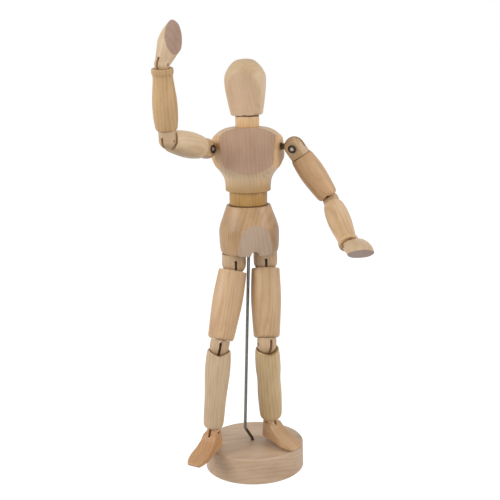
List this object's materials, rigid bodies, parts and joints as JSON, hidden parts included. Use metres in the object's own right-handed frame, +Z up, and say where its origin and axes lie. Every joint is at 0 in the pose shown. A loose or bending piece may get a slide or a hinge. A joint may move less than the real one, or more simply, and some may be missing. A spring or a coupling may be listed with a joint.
{
  "type": "artist drawing mannequin",
  "caption": "Jointed wooden artist figure with a blank egg-shaped head, standing on a bent steel rod in a round wooden base; its limbs, trunk and head bend and turn to hold a pose.",
  "frame": {"origin": "centre of the underside of the round base", "axes": "+Z up; the figure faces -Y, so its right side is towards -X and its left side towards +X"},
  "size_m": [0.1479, 0.1168, 0.3411],
  "materials": {
    "base_wood": "satin",
    "trunk_wood": "satin",
    "limb_wood": "satin",
    "pale_wood": "satin",
    "rod_steel": "satin",
    "tongue_steel": "satin",
    "pin_steel": "satin"
  },
  "bodies": {
    "base": {"base_disc": "base_wood"},
    "rod": {"support_rod": "rod_steel"},
    "hips": {"pelvis": "trunk_wood", "pelvis_pin": "pin_steel"},
    "waist": {"waist_piece": "trunk_wood"},
    "trunk_spring": {"waist_spring": "tongue_steel"},
    "torso": {"chest": "trunk_wood", "chest_pin": "pin_steel", "shoulder_spring": "tongue_steel"},
    "neck_piece": {"neck": "trunk_wood"},
    "head_spring": {"neck_spring": "tongue_steel"},
    "skull": {"head": "pale_wood", "head_pin": "pin_steel"},
    "right_hook": {"right_shoulder_hook": "tongue_steel"},
    "right_shoulder_link": {"right_shoulder_tongue": "tongue_steel"},
    "right_block": {"right_shoulder_block": "limb_wood", "right_shoulder_rivet": "pin_steel"},
    "right_arm": {"right_upper_arm": "limb_wood", "right_elbow_tongue": "tongue_steel"},
    "right_elbow": {"right_elbow_dowel": "limb_wood", "right_elbow_pin": "pin_steel"},
    "right_lower_arm": {"right_forearm": "limb_wood", "right_wrist_tongue": "tongue_steel"},
    "right_palm": {"right_hand": "pale_wood", "right_wrist_pin": "pin_steel"},
    "right_hip": {"right_hip_dowel": "limb_wood", "right_hip_pin": "pin_steel"},
    "right_upper_leg": {"right_thigh": "limb_wood", "right_hip_tongue": "tongue_steel"},
    "right_knee": {"right_knee_dowel": "limb_wood", "right_knee_pin": "pin_steel"},
    "right_lower_leg": {"right_shin": "limb_wood", "right_knee_tongue": "tongue_steel"},
    "right_ankle": {"right_ankle_tongue": "tongue_steel"},
    "right_sole": {"right_foot": "pale_wood", "right_ankle_pin": "pin_steel"},
    "left_hook": {"left_shoulder_hook": "tongue_steel"},
    "left_shoulder_link": {"left_shoulder_tongue": "tongue_steel"},
    "left_block": {"left_shoulder_block": "limb_wood", "left_shoulder_rivet": "pin_steel"},
    "left_arm": {"left_upper_arm": "limb_wood", "left_elbow_tongue": "tongue_steel"},
    "left_elbow": {"left_elbow_dowel": "limb_wood", "left_elbow_pin": "pin_steel"},
    "left_lower_arm": {"left_forearm": "limb_wood", "left_wrist_tongue": "tongue_steel"},
    "left_palm": {"left_hand": "pale_wood", "left_wrist_pin": "pin_steel"},
    "left_hip": {"left_hip_dowel": "limb_wood", "left_hip_pin": "pin_steel"},
    "left_upper_leg": {"left_thigh": "limb_wood", "left_hip_tongue": "tongue_steel"},
    "left_knee": {"left_knee_dowel": "limb_wood", "left_knee_pin": "pin_steel"},
    "left_lower_leg": {"left_shin": "limb_wood", "left_knee_tongue": "tongue_steel"},
    "left_ankle": {"left_ankle_tongue": "tongue_steel"},
    "left_sole": {"left_foot": "pale_wood", "left_ankle_pin": "pin_steel"}
  },
  "joints": [
    {"name": "rod_swivel", "type": "hinge", "parent": "base", "child": "rod", "pos_m": [-0.0015, 0, 0.02], "axis": [0, 0, 1], "continuous": true},
    {"name": "figure_lift", "type": "slide", "parent": "rod", "child": "hips", "axis": [0.0427, 0, 0.9991], "range_m": [0, 0.014]},
    {"name": "waist_bend", "type": "hinge", "parent": "hips", "child": "waist", "pos_m": [-0.00035, 0, 0.2116], "axis": [1, 0, -0.0087], "range_deg": [-14, 14]},
    {"name": "waist_turn", "type": "hinge", "parent": "waist", "child": "trunk_spring", "pos_m": [-0.00035, 0, 0.2116], "axis": [-0.0087, 0, -1], "range_deg": [-90, 90]},
    {"name": "chest_side_bend", "type": "hinge", "parent": "trunk_spring", "child": "torso", "pos_m": [-0.00034, 0, 0.2132], "axis": [0, 1, 0], "range_deg": [-12, 12]},
    {"name": "neck_bend", "type": "hinge", "parent": "torso", "child": "neck_piece", "pos_m": [0.00014, 0, 0.2682], "axis": [1, 0, -0.0087], "range_deg": [-14, 14]},
    {"name": "head_turn", "type": "hinge", "parent": "neck_piece", "child": "head_spring", "pos_m": [0.00014, 0, 0.2682], "axis": [-0.0087, 0, -1], "range_deg": [-90, 90]},
    {"name": "head_tilt", "type": "hinge", "parent": "head_spring", "child": "skull", "pos_m": [0.00016, 0, 0.2696], "axis": [0.2419, 0.9703, -0.0021], "range_deg": [-14, 14]},
    {"name": "right_arm_swing", "type": "hinge", "parent": "torso", "child": "right_hook", "pos_m": [-0.02455, -0.00099, 0.25031], "axis": [0.9397, 0.342, -0.0082], "range_deg": [-16, 160]},
    {"name": "right_arm_forward", "type": "hinge", "parent": "right_hook", "child": "right_shoulder_link", "pos_m": [-0.02455, -0.00099, 0.25031], "axis": [0.0087, 0, 1], "range_deg": [-74, 3]},
    {"name": "right_arm_raise", "type": "hinge", "parent": "right_shoulder_link", "child": "right_block", "pos_m": [-0.02996, -0.00964, 0.25036], "axis": [-0.848, 0.5299, 0.0074], "range_deg": [-90, 38]},
    {"name": "right_upper_arm_twist", "type": "hinge", "parent": "right_block", "child": "right_arm", "pos_m": [-0.02996, -0.00964, 0.25036], "axis": [0.5157, 0.8283, -0.2192], "range_deg": [-170, 170]},
    {"name": "right_elbow_bend", "type": "hinge", "parent": "right_arm", "child": "right_elbow", "pos_m": [-0.05471, -0.0494, 0.26088], "axis": [-0.8393, 0.5398, 0.0652], "range_deg": [-124, 1]},
    {"name": "right_forearm_twist", "type": "hinge", "parent": "right_elbow", "child": "right_lower_arm", "pos_m": [-0.05471, -0.0494, 0.26088], "axis": [0.021, 0.1521, -0.9881], "range_deg": [-170, 170]},
    {"name": "right_wrist_bend", "type": "hinge", "parent": "right_lower_arm", "child": "right_palm", "pos_m": [-0.0558, -0.05731, 0.31227], "axis": [-0.8178, 0.5712, 0.0705], "range_deg": [-78, 4]},
    {"name": "right_leg_turn", "type": "hinge", "parent": "hips", "child": "right_hip", "pos_m": [-0.01219, -0.00295, 0.163], "axis": [0, 0, 1], "range_deg": [-60, 26]},
    {"name": "right_hip_swing", "type": "hinge", "parent": "right_hip", "child": "right_upper_leg", "pos_m": [-0.01219, -0.00295, 0.163], "axis": [0.9848, 0.1736, 0], "range_deg": [-35, 1]},
    {"name": "right_knee_turn", "type": "hinge", "parent": "right_upper_leg", "child": "right_knee", "pos_m": [-0.02447, -0.02108, 0.10393], "axis": [0.1949, 0.2877, 0.9377], "range_deg": [-16, 60]},
    {"name": "right_knee_bend", "type": "hinge", "parent": "right_knee", "child": "right_lower_leg", "pos_m": [-0.02447, -0.02108, 0.10393], "axis": [0.9716, 0.074, -0.2247], "range_deg": [-60, 12]},
    {"name": "right_ankle_turn", "type": "hinge", "parent": "right_lower_leg", "child": "right_ankle", "pos_m": [-0.03147, -0.01993, 0.0358], "axis": [0.1023, -0.0167, 0.9946], "range_deg": [-60, 40]},
    {"name": "right_ankle_bend", "type": "hinge", "parent": "right_ankle", "child": "right_sole", "pos_m": [-0.03147, -0.01993, 0.0358], "axis": [0.8576, -0.5052, -0.0967], "range_deg": [-50, 12]},
    {"name": "left_arm_swing", "type": "hinge", "parent": "torso", "child": "left_hook", "pos_m": [0.02453, -0.00099, 0.24988], "axis": [0.9397, -0.342, -0.0082], "range_deg": [-160, 160]},
    {"name": "left_arm_forward", "type": "hinge", "parent": "left_hook", "child": "left_shoulder_link", "pos_m": [0.02453, -0.00099, 0.24988], "axis": [-0.0743, -0.2273, 0.971], "range_deg": [-38, 38]},
    {"name": "left_arm_raise", "type": "hinge", "parent": "left_shoulder_link", "child": "left_block", "pos_m": [0.03411, -0.00448, 0.2498], "axis": [-0.334, -0.9118, -0.239], "range_deg": [-15, 130]},
    {"name": "left_upper_arm_twist", "type": "hinge", "parent": "left_block", "child": "left_arm", "pos_m": [0.03411, -0.00448, 0.2498], "axis": [-0.5516, -0.0166, 0.8339], "range_deg": [-70, 170]},
    {"name": "left_elbow_bend", "type": "hinge", "parent": "left_arm", "child": "left_elbow", "pos_m": [0.06059, -0.00368, 0.20977], "axis": [0.8264, -0.1466, 0.5437], "range_deg": [-5, 116]},
    {"name": "left_forearm_twist", "type": "hinge", "parent": "left_elbow", "child": "left_lower_arm", "pos_m": [0.06059, -0.00368, 0.20977], "axis": [-0.1898, 0.8365, 0.514], "range_deg": [-170, 170]},
    {"name": "left_wrist_bend", "type": "hinge", "parent": "left_lower_arm", "child": "left_palm", "pos_m": [0.07046, -0.04718, 0.18304], "axis": [-0.9603, -0.2672, 0.0802], "range_deg": [-75, 9]},
    {"name": "left_leg_turn", "type": "hinge", "parent": "hips", "child": "left_hip", "pos_m": [0.01149, 0.00295, 0.163], "axis": [0, 0, 1], "range_deg": [-8, 60]},
    {"name": "left_hip_swing", "type": "hinge", "parent": "left_hip", "child": "left_upper_leg", "pos_m": [0.01149, 0.00295, 0.163], "axis": [0.9986, 0.0523, 0], "range_deg": [-34, 0]},
    {"name": "left_knee_turn", "type": "hinge", "parent": "left_upper_leg", "child": "left_knee", "pos_m": [0.01101, -0.0174, 0.10338], "axis": [0.0075, 0.323, 0.9464], "range_deg": [-60, 5]},
    {"name": "left_knee_bend", "type": "hinge", "parent": "left_knee", "child": "left_lower_leg", "pos_m": [0.01101, -0.0174, 0.10338], "axis": [0.8922, 0.4251, -0.1522], "range_deg": [-60, 2]},
    {"name": "left_ankle_turn", "type": "hinge", "parent": "left_lower_leg", "child": "left_ankle", "pos_m": [0.01353, -0.00186, 0.03671], "axis": [-0.0367, -0.2268, 0.9733], "range_deg": [-9, 60]},
    {"name": "left_ankle_bend", "type": "hinge", "parent": "left_ankle", "child": "left_sole", "pos_m": [0.01353, -0.00186, 0.03671], "axis": [0.7546, 0.6322, 0.1758], "range_deg": [-40, 1]}
  ]
}
